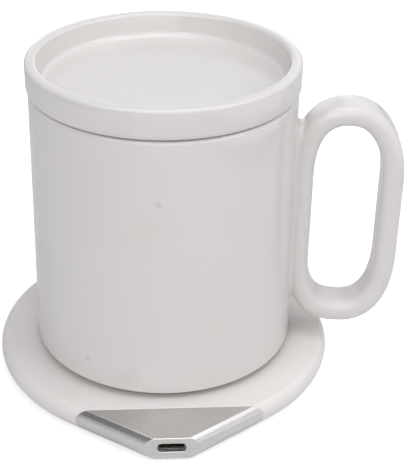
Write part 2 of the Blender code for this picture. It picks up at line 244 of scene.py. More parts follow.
def surface(name, roughness, metallic=0, **fixed):
    made = bpy.data.materials.new(name)
    made.use_nodes = True
    shader = made.node_tree.nodes["Principled BSDF"]
    shader.inputs["Roughness"].default_value = roughness
    shader.inputs["Metallic"].default_value = metallic
    for key, value in fixed.items():
        shader.inputs[key].default_value = value
    return made, made.node_tree, shader


def linkLook(tree, shader, colour, roughness, normal):
    for key, value in (("Base Color", colour), ("Roughness", roughness), ("Normal", normal)):
        tree.links.new(value, shader.inputs[key])


def emptyTree(holder):
    holder.use_nodes = True
    holder.node_tree.nodes.clear()
    return holder.node_tree


def objectPlace(tree):
    return addNode(tree, "ShaderNodeTexCoord").outputs["Object"]


def noiseOf(tree, place, scale, detail, stretch=(1, 1, 1)):
    # scale is in waves to the metre
    laid = addNode(tree, "ShaderNodeMapping", {"Vector": place, "Scale": stretch})
    return addNode(tree, "ShaderNodeTexNoise", {
        "Vector": laid.outputs["Vector"], "Scale": scale, "Detail": detail}).outputs["Fac"]


usual = (0.3, 0.7)  # most of a noise lies between these


def spread(tree, value, low, high, outLow=0.0, outHigh=1.0):
    return addNode(tree, "ShaderNodeMapRange",
                   {"Value": value, "From Min": low, "From Max": high,
                    "To Min": outLow, "To Max": outHigh}).outputs["Result"]


def blendColours(tree, share, first, second):
    # a colour mix takes its two colours in sockets 6 and 7, and gives the blend in output 2
    made = addNode(tree, "ShaderNodeMix", data_type="RGBA")
    tree.links.new(share, made.inputs["Factor"])
    for socket, value in ((made.inputs[6], first), (made.inputs[7], second)):
        if isinstance(value, bpy.types.NodeSocket):
            tree.links.new(value, socket)
        else:
            socket.default_value = (*value, 1)
    return made.outputs[2]


def bumpFrom(tree, height, distance, normal=None):
    sources = {"Height": height, "Distance": distance, "Strength": 1}
    if normal:
        sources["Normal"] = normal
    return addNode(tree, "ShaderNodeBump", sources).outputs["Normal"]


def grainy(name, first, second, roughness, metallic, blotch, grain, depth, fixed={},
           roughSpread=0.05):
    # a finish with slow colour drift, uneven gloss and a fine grain
    made, tree, shader = surface(name, roughness, metallic, **fixed)
    place = objectPlace(tree)
    drift = noiseOf(tree, place, blotch, 3)
    fine = noiseOf(tree, place, grain, 2)
    linkLook(tree, shader, blendColours(tree, spread(tree, drift, *usual), first, second),
             spread(tree, drift, *usual, roughness - roughSpread, roughness + roughSpread),
             bumpFrom(tree, fine, depth))
    return made


# Finishes

glazeLook = {
    "body": (0.73, 0.709, 0.702), "thin": (0.705, 0.68, 0.665), "mark": (0.55, 0.535, 0.53),
    "roughness": 0.09, "roughnesses": (0.07, 0.12), "ior": 1.52, "markSize": 0.0019,
    "markShare": 0.6,
    # a noise is its waves to the metre and its detail
    "pool": (28, 2), "poolRange": (0.62, 0.82), "pits": (420, 1), "pitRange": (0.84, 0.95),
    "pitDepth": 0.00001, "waves": (90, 1), "waveDepth": 0.00003,
    "marks": ((-0.0033, -0.0441, 0.0806), (-0.0261, -0.0356, 0.02)),
}


def makeGlaze():
    s = glazeLook
    made, tree, shader = surface("whiteGlaze", s["roughness"], IOR=s["ior"])
    place = objectPlace(tree)
    pooled = noiseOf(tree, place, *s["pool"])
    pits = noiseOf(tree, place, *s["pits"])
    colour = blendColours(tree, spread(tree, pooled, *s["poolRange"]), s["body"], s["thin"])
    for mark in s["marks"]:  # two faint grey marks under the glaze
        away = addNode(tree, "ShaderNodeVectorMath", {0: place, 1: mark}, operation="DISTANCE")
        near = addNode(tree, "ShaderNodeMapRange", {
            "Value": away.outputs["Value"], "From Max": s["markSize"], "To Min": s["markShare"],
            "To Max": 0.0}, interpolation_type="SMOOTHSTEP").outputs["Result"]
        colour = blendColours(tree, near, colour, s["mark"])
    waves = bumpFrom(tree, noiseOf(tree, place, *s["waves"]), s["waveDepth"])
    linkLook(tree, shader, colour, spread(tree, pooled, *usual, *s["roughnesses"]),
             bumpFrom(tree, spread(tree, pits, *s["pitRange"]), s["pitDepth"], waves))
    return made


metalLook = {
    "roughness": 0.28, "roughnesses": (0.24, 0.32), "slow": (90, 3), "dimples": (5200, 1),
    "dimpleDepth": 0.000004, "streaks": (1500, 3, (0.03, 0.03, 1)), "streakDepth": 0.00002,
    "colourRange": (0.35, 0.65), "streakShare": 0.5,
    "dull": (0.645, 0.632, 0.626), "bright": (0.685, 0.672, 0.665), "streak": (0.52, 0.51, 0.505),
}


def makeBlastedMetal():
    # blasted all over, with faint level streaks left on the sides by the milling under it
    s = metalLook
    made, tree, shader = surface("blastedAluminium", s["roughness"], 1)
    place = objectPlace(tree)
    slow = noiseOf(tree, place, *s["slow"])
    dimples = noiseOf(tree, place, *s["dimples"])
    streaks = noiseOf(tree, place, *s["streaks"])
    colour = blendColours(tree, spread(tree, slow, *s["colourRange"]), s["dull"], s["bright"])
    streaked = spread(tree, streaks, *s["colourRange"], 0, s["streakShare"])
    lines = bumpFrom(tree, streaks, s["streakDepth"])
    linkLook(tree, shader, blendColours(tree, streaked, colour, s["streak"]),
             spread(tree, dimples, *usual, *s["roughnesses"]),
             bumpFrom(tree, dimples, s["dimpleDepth"], lines))
    return made


steelLook = {
    "roughness": 0.32, "roughnesses": (0.26, 0.4), "anisotropy": 0.5, "rings": (3600, 3),
    "ringDepth": 0.000006, "dull": (0.5, 0.5, 0.51), "bright": (0.62, 0.62, 0.62),
}


def makeTurnedSteel():
    # fine rings left by the lathe
    s = steelLook
    made, tree, shader = surface("turnedSteel", s["roughness"], 1, Anisotropic=s["anisotropy"])
    flat = addNode(tree, "ShaderNodeMapping", {"Vector": objectPlace(tree), "Scale": (1, 1, 0)})
    radius = addNode(tree, "ShaderNodeVectorMath", {0: flat.outputs["Vector"]},
                     operation="LENGTH").outputs["Value"]
    ring = addNode(tree, "ShaderNodeCombineXYZ", {"X": radius}).outputs["Vector"]
    rings = noiseOf(tree, ring, *s["rings"])
    linkLook(tree, shader, blendColours(tree, spread(tree, rings, *usual), s["dull"], s["bright"]),
             spread(tree, rings, *usual, *s["roughnesses"]),
             bumpFrom(tree, rings, s["ringDepth"]))
    tangent = addNode(tree, "ShaderNodeTangent", direction_type="RADIAL", axis="Z")
    tree.links.new(tangent.outputs["Tangent"], shader.inputs["Tangent"])
    return made


finishLooks = {
    # two colours, roughness, metallic, blotches and grains to the metre, depth of the grain
    # bisque is the real unglazed clay, but its tone is darkened as painted shade for the lid's
    # joint and the gap under the mug's foot
    "bisqueAndPaintedShade": ((0.42, 0.4, 0.375), (0.36, 0.34, 0.315), 0.8, 0, 300, 4200, 0.00003),
    "softTouchWhite": ((0.79, 0.764, 0.757), (0.77, 0.744, 0.737), 0.5, 0, 70, 3800, 0.000007,
                       {"IOR": 1.45}),
    "inletPlating": ((0.6, 0.6, 0.61), (0.5, 0.5, 0.5), 0.28, 1, 900, 9000, 0.000002),
    "goldContact": ((0.83, 0.6, 0.26), (0.75, 0.52, 0.22), 0.25, 1, 2500, 12000, 0.000001),
    "blackPlastic": ((0.016, 0.016, 0.017), (0.026, 0.026, 0.027), 0.45, 0, 200, 5000, 0.000008),
    "footSilicone": ((0.42, 0.42, 0.425), (0.37, 0.37, 0.375), 0.72, 0, 110, 3000, 0.00002),
    "boardGreen": ((0.015, 0.1, 0.042), (0.022, 0.14, 0.06), 0.33, 0, 400, 1800, 0.00001),
    "traceGreen": ((0.04, 0.2, 0.085), (0.05, 0.24, 0.1), 0.3, 0, 900, 4000, 0.000004),
    "coilCopper": ((0.7, 0.33, 0.18), (0.6, 0.27, 0.14), 0.35, 1, 500, 2600, 0.00004),
    "ferriteGrey": ((0.06, 0.06, 0.062), (0.09, 0.09, 0.092), 0.6, 0, 300, 3000, 0.00001),
    "chipBlack": ((0.02, 0.02, 0.021), (0.03, 0.03, 0.031), 0.55, 0, 900, 7000, 0.000006),
    "capacitorTan": ((0.42, 0.28, 0.16), (0.36, 0.23, 0.13), 0.45, 0, 900, 6000, 0.000006),
    "screwSteel": ((0.5, 0.5, 0.51), (0.42, 0.42, 0.43), 0.3, 1, 900, 6000, 0.000004),
}
finishes = {name: grainy(name, *look) for name, look in finishLooks.items()}
for made in (makeGlaze(), makeBlastedMetal(), makeTurnedSteel()):
    finishes[made.name] = made
print("finishes made")


def bareWithPaintedShade(bm, test):
    # the faces that pass the test, on height and distance from the middle, get no glaze; they take
    # the bisque, whose dark tone is painted shade
    for face in bm.faces:
        middle = face.calc_center_median()
        if test(middle.z, math.hypot(middle.x, middle.y)):
            face.material_index = 1


# Mug: a turned cup, a loop handle swept round its oval, and a fillet rolled between them

mugSizes = {
    "radius": 0.0437, "lean": 0.0009, "height": 0.0918, "wall": 0.0042, "floor": 0.0075,
    "edgeRound": 0.0003, "ringHeight": 0.002, "ringInset": 0.0034, "ringRound": 0.0004,
    "lipRound": 0.0012, "innerRound": 0.006, "recessRadius": 0.0328, "recessDepth": 0.00125,
    "turn": math.radians(-5.7), "bottom": 0.0093, "longWall": 0.02, "wallRings": 24,
    "bareMargin": 0.0001,
}
handleSizes = {
    "centreX": 0.06105, "centreZ": 0.0568, "halfWidth": 0.0148, "halfHeight": 0.03713,
    "topEnd": 0.02316, "bottomEnd": 0.02522, "squareness": (2.08, 2.56, 2.73, 2.46),
    "band": 0.0071, "thicker": 0.00067, "width": 0.01378, "round": 0.00319,
    "fillet": 0.001, "topFillet": 0.0015, "filletFrom": 0.07, "filletRun": 0.02,
    "filletSink": 0.0008, "filletSections": 320, "filletSteps": 10, "mostDepth": 3.2,
    "backAngle": 0.35, "loopSteps": 240,
    "halvings": 50, "contactSteps": 40, "search": (0.0001, 0.2),
}


def cupRadius(z):
    # the wall leans out from the lip down to its lower edge
    s = mugSizes
    down = (s["bottom"] + s["height"] - z) / (s["height"] - s["ringHeight"])
    return s["radius"] + s["lean"] * min(max(down, 0), 1)


def mugCup():
    s = mugSizes
    inner, edge = s["radius"] - s["wall"], s["radius"] + s["lean"]
    ring = edge - s["ringInset"]
    profile = softCorners([
        (0, s["floor"], 0), (inner, s["floor"], s["innerRound"]),
        (inner, s["height"], s["lipRound"]), (s["radius"], s["height"], s["lipRound"]),
        (edge, s["ringHeight"], s["edgeRound"]), (ring, s["ringHeight"], s["ringRound"]),
        (ring, 0, s["ringRound"]), (s["recessRadius"], 0, s["ringRound"]),
        (s["recessRadius"], s["recessDepth"], 0), (0, s["recessDepth"], 0)], steps=8)
    walls = []
    for (x, z), (nextX, nextZ) in zip(profile, profile[1:]):
        walls.append((x, z))
        if abs(nextZ - z) > s["longWall"]:  # long walls get rings, so faces stay near square
            shares = [k / s["wallRings"] for k in range(1, s["wallRings"])]
            walls += [(x + (nextX - x) * share, z + (nextZ - z) * share) for share in shares]
    return moved(spun(walls + profile[-1:]), 0, 0, s["bottom"])


def loopStation(share):
    # place and outward direction on the middle line of the loop, share running from 0 to 1
    s = handleSizes
    quarter = share * 4
    power = 2 / s["squareness"][min(int(quarter), 3)]
    side = 1 if quarter < 1 or quarter >= 3 else -1
    end, flip = (s["topEnd"], 1) if quarter < 2 else (s["bottomEnd"], -1)
    angle = math.pi * (quarter % 2) / 2
    across, along = abs(math.cos(angle)), abs(math.sin(angle))
    x = side * across ** power * s["halfWidth"]
    z = flip * along ** power * end
    level = flip * (s["halfHeight"] - end)
    lean = Vector((math.copysign(across ** (2 - power), side) / s["halfWidth"],
                   0, flip * along ** (2 - power) / end)).normalized()
    return Vector((s["centreX"] + x, 0, s["centreZ"] + level + z)), lean


def handleSection(thicker):
    # a rounded bar, made thicker towards the middle of the loop
    s = handleSizes
    r = s["round"]
    a, b = s["band"] / 2 - r, s["width"] / 2 - r
    return arcRing(((a, b), (-a - thicker, b), (-a - thicker, -b), (a, -b)), r)


def mugHandle():
    steps = handleSizes["loopSteps"]
    sections = []
    for step in range(steps):
        place, lean = loopStation(step / steps)
        thicker = handleSizes["thicker"] * max(-lean.z, 0) ** 2
        sections.append([place + lean * a + Vector((0, b, 0))
                         for a, b in handleSection(thicker)])
    return skinned(sections, closed=True)


def filletAt(z):
    # the fillet widens towards the top of the loop
    s = handleSizes
    share = min(max((z - s["filletFrom"]) / s["filletRun"], 0), 1)
    return s["fillet"] + (s["topFillet"] - s["fillet"]) * share * share * (3 - 2 * share)


def rollingBall():
    # where a ball of the fillet's radius touches both the cup and the handle's inner leg
    s = handleSizes
    r = s["round"]
    a, b = s["band"] / 2 - r, s["width"] / 2 - r

    def ball(place, lean, angle):
        # angle 0 is straight back to the cup, 90 degrees is the handle's side
        side, angle, flat = math.copysign(1, angle), abs(angle), s["backAngle"]
        if angle < flat:  # the flat back of the section
            normal, at = lean, place + lean * (a + r) + Vector((0, side * b * angle / flat, 0))
        else:
            turn = (angle - flat) / (math.pi / 2 - flat) * math.pi / 2
            normal = lean * math.cos(turn) + Vector((0, side * math.sin(turn), 0))
            at = place + lean * a + Vector((0, side * b, 0)) + normal * r
        return at + normal * filletAt(place.z), at

    def miss(share, angle):
        centre, onHandle = ball(*loopStation(share), angle)
        fillet = (onHandle - centre).length
        return math.hypot(centre.x, centre.y) - cupRadius(centre.z) - fillet

    def solve(function, inside, outside):
        for _ in range(s["halvings"]):
            middle = (inside + outside) / 2
            if function(middle) > 0:
                outside = middle
            else:
                inside = middle
        return (inside + outside) / 2

    straight = solve(lambda angle: miss(0.5, angle), 0, math.pi / 2)
    top, bottom = [], []
    near, far = s["search"]
    for step in range(s["contactSteps"] + 1):
        angle = straight * math.cos(math.pi * step / s["contactSteps"])
        for way, found in ((-1, top), (1, bottom)):
            share = solve(lambda share: miss(share, angle), 0.5 + way * near, 0.5 + way * far)
            found.append(ball(*loopStation(share), angle))
    return top + bottom[::-1]


def evened(loop, count):
    # the same closed line with its points at even distances
    lengths = [0.0]
    closed = loop + loop[:1]
    for (a, _), (b, _) in zip(closed, closed[1:]):
        lengths.append(lengths[-1] + (b - a).length)
    points, i = [], 0
    for step in range(count):
        want = lengths[-1] * step / count
        while lengths[i + 1] < want:
            i += 1
        share = (want - lengths[i]) / (lengths[i + 1] - lengths[i])
        points.append(tuple(p.lerp(q, share) for p, q in zip(closed[i], closed[i + 1])))
    return points


def handleFillet():
    s = handleSizes
    sink, steps = s["filletSink"], s["filletSteps"]
    sections = []
    for centre, onHandle in evened(rollingBall(), s["filletSections"]):
        fillet = (onHandle - centre).length
        shrink = cupRadius(centre.z) / math.hypot(centre.x, centre.y)
        onCup = Vector((centre.x * shrink, centre.y * shrink, centre.z))
        first, last = (onCup - centre).normalized(), (onHandle - centre).normalized()
        half = first.angle(last) / 2
        middle = (first + last).normalized()
        most = s["mostDepth"]
        depth = min(fillet / max(math.cos(half), 1 / most) + sink, most * fillet)
        section = [centre + first.slerp(last, k / steps) * fillet for k in range(steps + 1)]
        section += [onHandle + last * sink, centre + middle * depth, onCup + first * sink]
        sections.append(section)
    return skinned(sections, closed=True)


def makeMug():
    s = mugSizes
    bm = turned(carved(mugCup(), [mugHandle(), handleFillet()], "UNION"), s["turn"])
    bareTop = s["bottom"] + s["ringHeight"] + s["bareMargin"]
    bareRadius = s["radius"] + s["lean"] - s["edgeRound"]
    # the unglazed underside is darker than the glaze as painted shade in the gap under the foot
    bareWithPaintedShade(bm, lambda z, wide: z < bareTop and wide < bareRadius)  # the underside
    piece("mugWithHandle", "mug", bm, ["whiteGlaze", "bisqueAndPaintedShade"], "mug", sharp=50)


makeMug()
print("mug made")


# Warming disc in the mug's foot

discSizes = {"lowRound": 0.00025, "highRound": 0.0002}


def makeDisc():
    low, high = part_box("heating_disc")
    bm = turnedDisc(high.x, low.z, high.z, **discSizes, arcSteps=4, steps=128)
    piece("warmingDisc", "heating_disc", bm, ["turnedSteel"], "mug")


makeDisc()


# Lid

lidSizes = {
    "radius": 0.0443, "height": 0.0101, "rim": 0.0037, "floor": 0.004, "dishDepth": 0.008,
    "dishDraft": 0.0012, "dishRound": 0.0021, "innerRound": 0.0013, "rimRound": 0.0012,
    "edgeRound": 0.0021, "plugDepth": 0.0043, "plugWall": 0.003, "plugRadius": 0.0389,
    "seatRound": 0.0003, "plugRound": 0.0008, "hollowRound": 0.0006, "bottom": 0.1014,
}


def makeLid():
    s = lidSizes
    dishFloor = s["height"] - s["dishDepth"]
    under = dishFloor - s["floor"]
    dish = s["radius"] - s["rim"]
    hollow = s["plugRadius"] - s["plugWall"]
    profile = softCorners([
        (0, dishFloor, 0), (dish - s["dishDraft"], dishFloor, s["dishRound"]),
        (dish, s["height"], s["innerRound"]),
        (s["radius"], s["height"], s["rimRound"]), (s["radius"], 0, s["edgeRound"]),
        (s["plugRadius"], 0, s["seatRound"]),
        (s["plugRadius"], -s["plugDepth"], s["plugRound"]),
        (hollow, -s["plugDepth"], s["plugRound"]),
        (hollow, under, s["hollowRound"]), (0, under, 0)], steps=8)
    bm = spun(profile)
    seatEnd = s["radius"] - s["edgeRound"]  # the seat beside the plug
    # the unglazed seat is darker than the glaze as painted shade in the joint between lid and mug
    bareWithPaintedShade(bm, lambda z, wide: abs(z) < s["seatRound"] and s["plugRadius"] < wide < seatEnd)
    moved(bm, 0, 0, s["bottom"])
    piece("trayLid", "lid", bm, ["whiteGlaze", "bisqueAndPaintedShade"], "lid", sharp=50)


makeLid()
print("lid made")


# Pad: an arc of a disc with straight sides that run to a flat front

padSizes = {
    "radius": 0.0581, "front": 0.0647, "bottom": 0.001, "top": 0.009, "bulge": 0.0021,
    "sideAngle": math.radians(35.4), "parting": 0.00255, "baseTop": 0.00225, "trimBack": 0.0494,
    "wall": 0.0014, "topPlate": 0.0016, "trimWall": 0.0011, "trimTop": 0.0012,
    "frontWall": 0.001, "seam": 0.00008, "clear": 0.0003, "shellEdge": 0.0003,
    "baseEdge": 0.0002, "trimEdge": 0.00018, "border": 0.0003, "trimBorder": 0.0002,
    "wideFace": 0.0001, "bossSink": 0.0005,
}


def padOutline(inset, front, steps=144):
    s = padSizes
    radius = s["radius"] - inset
    half = (radius - front * math.cos(s["sideAngle"])) / math.sin(s["sideAngle"])
    points = []
    for step in range(steps + 1):
        angle = s["sideAngle"] + 2 * (math.pi - s["sideAngle"]) * step / steps
        points.append((radius * math.sin(angle), -radius * math.cos(angle)))
    return points + [(-half, -front), (half, -front)]


def edgeInset(height):
    # how far the rounded side of the pad lies in from its widest line
    s = padSizes
    half = (s["top"] - s["bottom"]) / 2
    radius = (half * half + s["bulge"] ** 2) / (2 * s["bulge"])
    return radius - math.sqrt(radius ** 2 - (height - s["bottom"] - half) ** 2)


def padBlank(low, high, steps=14):
    heights = [low + (high - low) * step / steps for step in range(steps + 1)]
    return skinned([[(x, y, z) for x, y in padOutline(edgeInset(z), padSizes["front"])]
                    for z in heights])


def padCore(inset, front, low, high):
    return skinned([[(x, y, z) for x, y in padOutline(inset, front)] for z in (low, high)])


def cutAt(bm, y, keepFront):
    cut = bmesh.ops.bisect_plane(bm, geom=bm.verts[:] + bm.edges[:] + bm.faces[:],
                                 dist=weld / 10, plane_co=(0, y, 0), plane_no=(0, 1, 0),
                                 clear_outer=keepFront, clear_inner=not keepFront)["geom_cut"]
    bmesh.ops.holes_fill(bm, edges=[e for e in cut if isinstance(e, bmesh.types.BMEdge)])
    bmesh.ops.recalc_face_normals(bm, faces=bm.faces)


def settleFlats(bm, width):
    # a thin border keeps the shading of a wide flat face level
    wide = [f for f in bm.faces if f.calc_area() > padSizes["wideFace"]]
    bmesh.ops.inset_individual(bm, faces=wide, thickness=width, use_even_offset=True)


insideSizes = {
    "boss": 0.003, "bossTop": 0.0036, "postBottom": 0.0039, "post": 0.0024, "pilot": 0.0011,
    "pilotTop": 0.00685, "head": 0.0019, "headTop": 0.00235,
}


def screwMiddles(kind, count):
    boxes = [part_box(f"{kind}_screw_{i + 1}") for i in range(count)]
    return [((low.x + high.x) / 2, (low.y + high.y) / 2) for low, high in boxes]


def withPosts(bm, places, into):
    # posts that hang from the ceiling, each with a pilot hole for its screw
    s = insideSizes
    bm = carved(bm, rodsAt(s["post"], s["postBottom"], into, places), "UNION")
    return carved(bm, rodsAt(s["pilot"], s["postBottom"] - mm, s["pilotTop"], places))


def makeTopShell():
    s = padSizes
    bm = padBlank(s["parting"], s["top"])
    cutAt(bm, -s["trimBack"] + s["seam"], keepFront=False)
    bevelSharp(bm, s["shellEdge"], segments=3)
    settleFlats(bm, s["border"])
    core = padCore(s["bulge"] + s["wall"], s["front"], 0, s["top"] - s["topPlate"])
    bm = withPosts(carved(bm, [core]), screwMiddles("shell", 4), s["top"] - s["topPlate"] / 2)
    piece("padTopShell", "pad_top_shell", bm, ["softTouchWhite"], sharp=50)


def makeBottomShell():
    s = padSizes
    i = insideSizes
    bm = padBlank(s["bottom"], s["baseTop"], steps=4)
    cutAt(bm, -s["trimBack"] + s["seam"], keepFront=False)
    bevelSharp(bm, s["baseEdge"])
    settleFlats(bm, s["border"])
    # under the trim the plate runs on as a tongue, which the trim covers
    tongue = padCore(s["bulge"] + s["trimWall"] + s["clear"],
                     s["front"] - s["frontWall"] - s["clear"], s["bottom"], s["baseTop"])
    cutAt(tongue, -s["trimBack"] + 2 * mm, keepFront=True)
    places = screwMiddles("shell", 4) + screwMiddles("trim", 2)
    bosses = rodsAt(i["boss"], s["baseTop"] - s["bossSink"], i["bossTop"], places)
    bm = carved(bm, [tongue] + bosses, "UNION")
    bm = carved(bm, rodsAt(i["head"], 0, i["headTop"], places)
                + rodsAt(i["pilot"], 0, i["bossTop"] + mm, places))
    piece("padBottomShell", "pad_bottom_shell", bm, ["softTouchWhite"],
          sharp=50)


makeTopShell()
makeBottomShell()


# Metal trim on the point, with the slot for the inlet

portSizes = {
    "width": 0.00904, "height": 0.00326, "round": 0.0012, "middle": 0.00525, "lead": 0.00012,
    "depth": 0.004, "overrun": 0.0003,
}


def slotBar(width, height, turn, stations):
    # a rounded bar along Y at the inlet's height; each station is its growth and its place
    z, rings = portSizes["middle"], []
    for grow, y in stations:
        r = turn + grow / 2
        x, rise = (width + grow) / 2 - r, (height + grow) / 2 - r
        middles = ((x, z + rise), (-x, z + rise), (-x, z - rise), (x, z - rise))
        rings.append([(across, y, up) for across, up in arcRing(middles, r)])
    return skinned(rings)


def makeTrim():
    s, p = padSizes, portSizes
    bm = padBlank(s["bottom"], s["top"])
    cutAt(bm, -s["trimBack"], keepFront=True)
    bevelSharp(bm, s["trimEdge"], segments=3)
    settleFlats(bm, s["trimBorder"])
    core = padCore(s["bulge"] + s["trimWall"], s["front"] - s["frontWall"], -mm,
                   s["top"] - s["trimTop"])
    front, lead = -s["front"], p["lead"]
    slot = slotBar(p["width"], p["height"], p["round"], (
        (0, front + p["depth"]), (0, front + lead), (2 * lead, front),
        (6 * lead, front - p["overrun"])))
    bm = withPosts(carved(bm, [core, slot]), screwMiddles("trim", 2),
                   s["top"] - s["trimTop"] / 2)
    piece("noseTrim", "nose_trim", bm, ["blastedAluminium"], sharp=35)


makeTrim()
print("pad and trim made")


# Inlet: a drawn metal shell, a moulded tongue and its row of contacts

inletSizes = {
    "wall": 0.0003, "round": 0.0012, "lead": 0.0001, "blockLength": 0.0035, "blockRound": 0.0006,
    "bladeHalf": 0.0033, "bladeThick": 0.0007, "bladeEdge": 0.0001, "contacts": 12,
    "pitch": 0.0005, "contactHalf": 0.00013, "contactRise": 0.00005, "contactInset": 0.0003,
}


def makeInlet():
    low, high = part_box("usb_shell")
    s, middle = inletSizes, portSizes["middle"]
    width, height, wall, lead = high.x - low.x, high.z - low.z, s["wall"], s["lead"]
    outside = slotBar(width, height, s["round"], (
        (0, high.y), (0, low.y + lead), (-lead, low.y)))
    inside = slotBar(width - 2 * wall, height - 2 * wall, s["round"] - wall, (
        (0, high.y + mm), (0, low.y + lead), (lead, low.y), (5 * lead, low.y - 5 * lead)))
    piece("inletShell", "usb_shell", carved(outside, [inside]), ["inletPlating"])
    low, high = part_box("usb_tongue")
    blockFront, half = high.y - s["blockLength"], s["bladeThick"] / 2
    block = slotBar(high.x - low.x, high.z - low.z, s["blockRound"], (
        (0, high.y), (0, blockFront)))
    blade = boxed((-s["bladeHalf"], low.y, middle - half),
                  (s["bladeHalf"], blockFront + mm, middle + half), s["bladeEdge"])
    contacts = []
    for z in (middle - half, middle + half):
        for i in range(s["contacts"]):
            x = (i - (s["contacts"] - 1) / 2) * s["pitch"]
            contacts.append(boxed(
                (x - s["contactHalf"], low.y + s["contactInset"], z - s["contactRise"]),
                (x + s["contactHalf"], blockFront, z + s["contactRise"])))
    bm = dressed(joined(block, blade), contacts)
    piece("inletTongue", "usb_tongue", bm, ["blackPlastic", "goldContact"])


makeInlet()
print("inlet made")


# Foot under the pad: a silicone sheet with three shallow grooves round its underside

footSizes = {
    "edge": 0.00015, "sharp": 60, "land": 0.005, "groove": 0.0012, "depth": 0.0002, "grooves": 3,
}


def makeFoot():
    low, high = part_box("foot_pad")
    s = footSizes
    bm = padCore(padSizes["radius"] - high.y, -low.y, low.z, high.z)
    bevelSharp(bm, s["edge"], degrees=s["sharp"])
    under = max(bm.faces, key=lambda f: -f.normal.z * f.calc_area())
    for _ in range(s["grooves"]):
        bmesh.ops.inset_region(bm, faces=[under], thickness=s["land"], use_even_offset=True)
        band = bmesh.ops.inset_region(bm, faces=[under], thickness=s["groove"],
                                      use_even_offset=True)["faces"]
        sunk = bmesh.ops.extrude_face_region(bm, geom=band)["geom"]
        bmesh.ops.delete(bm, geom=band, context="FACES_ONLY")
        bmesh.ops.translate(bm, vec=(0, 0, s["depth"]),
                            verts=[v for v in sunk if isinstance(v, bmesh.types.BMVert)])
    piece("footPad", "foot_pad", bm, ["footSilicone"])


makeFoot()


# Screws: a pan head with a cross recess, and a shank with a rolled thread

screwSizes = {
    "head": 0.0016, "headHeight": 0.0009, "headRound": 0.0005, "core": 0.00058, "crest": 0.0008,
    "length": 0.0054, "tip": 0.0005, "turns": 8, "pitch": 0.0005, "threadHalf": 0.0002,
    "recessReach": 0.0009, "recessHalf": 0.00016, "recessDepth": 0.00045, "edge": 0.0001,
    "stepsPerTurn": 20, "fadeSteps": 10,
}


def screwShape():
    s = screwSizes
    bm = spun(softCorners([
        (0, 0, 0), (s["head"], 0, s["headRound"]), (s["head"], s["headHeight"], s["edge"]),
        (s["core"], s["headHeight"], s["edge"]), (s["core"], s["length"] - s["tip"], s["edge"]),
        (0, s["length"], 0)], steps=4), steps=32)
    reach, half, depth = s["recessReach"], s["recessHalf"], s["recessDepth"]
    bm = carved(bm, [boxed((-reach, -half, -reach), (reach, half, depth)),
                     boxed((-half, -reach, -reach), (half, reach, depth))])
    sections = []
    steps = s["stepsPerTurn"] * s["turns"]
    for step in range(steps + 1):
        angle = 2 * math.pi * step / s["stepsPerTurn"]
        fade = min(1, step / s["fadeSteps"], (steps - step) / s["fadeSteps"])
        z = s["headHeight"] + s["threadHalf"] + s["pitch"] * step / s["stepsPerTurn"]
        crest = s["core"] + (s["crest"] - s["core"]) * fade
        outward = Vector((math.cos(angle), math.sin(angle), 0))
        root = outward * (s["core"] - s["edge"])
        sections.append([root + Vector((0, 0, z - s["threadHalf"])),
                         outward * crest + Vector((0, 0, z)),
                         root + Vector((0, 0, z + s["threadHalf"]))])
    return joined(bm, skinned(sections))


def makeScrews():
    pattern = screwShape()
    for kind, count in (("shell", 4), ("trim", 2)):
        for i, middle in enumerate(screwMiddles(kind, count)):
            node = f"{kind}_screw_{i + 1}"
            bm = moved(pattern.copy(), *middle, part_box(node)[0].z)
            piece(f"{kind}Screw{i + 1}", node, bm, ["screwSteel"], sharp=50)
    pattern.free()


makeScrews()
print("foot and screws made")


# Coil under the middle of the pad: one wire wound flat, on ferrite, in a moulded tray

coilSizes = {"wire": 0.00058, "bore": 0.009, "turns": 10, "stepsPerTurn": 64, "around": 8}


def makeCoil():
    low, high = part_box("transmitter_coil")
    s = coilSizes
    outer, inner = high.x - s["wire"], s["bore"] + s["wire"]
    middle = Vector((0, 0, (low.z + high.z) / 2))
    sections = []
    for step in range(s["turns"] * s["stepsPerTurn"] + 1):
        angle = 2 * math.pi * step / s["stepsPerTurn"]
        radius = outer + (inner - outer) * step / (s["turns"] * s["stepsPerTurn"])
        outward = Vector((math.cos(angle), math.sin(angle), 0))
        ring = []
        for k in range(s["around"]):
            turn = 2 * math.pi * k / s["around"]
            ring.append(middle + outward * (radius + s["wire"] * math.cos(turn))
                        + Vector((0, 0, s["wire"] * math.sin(turn))))
        sections.append(ring)
    piece("transmitterCoil", "transmitter_coil", skinned(sections), ["coilCopper"],
          sharp=60)


ferriteSizes = {"edge": 0.0001, "scores": 4, "scoreHalf": 0.00008, "scoreDepth": 0.0001}


def makeFerrite():
    low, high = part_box("ferrite_sheet")
    s = ferriteSizes
    bm = turnedDisc(high.x, low.z, high.z, s["edge"], s["edge"], arcSteps=3, steps=96)
    scores, reach, half = [], high.x + 6 * mm, s["scoreHalf"]
    for k in range(s["scores"]):  # the sheet is scored so that it can flex
        score = boxed((-reach, -half, high.z - s["scoreDepth"]), (reach, half, high.z + mm))
        scores.append(turned(score, math.pi * k / s["scores"]))
    piece("ferriteSheet", "ferrite_sheet", carved(bm, scores), ["ferriteGrey"])


traySizes = {
    "floor": 0.0019, "bore": 0.006, "wall": 0.0015, "outerRound": 0.0004, "boreRound": 0.0003,
    "innerRound": 0.0002, "holes": 8, "hole": 0.0024, "holeCircle": 0.0155,
}


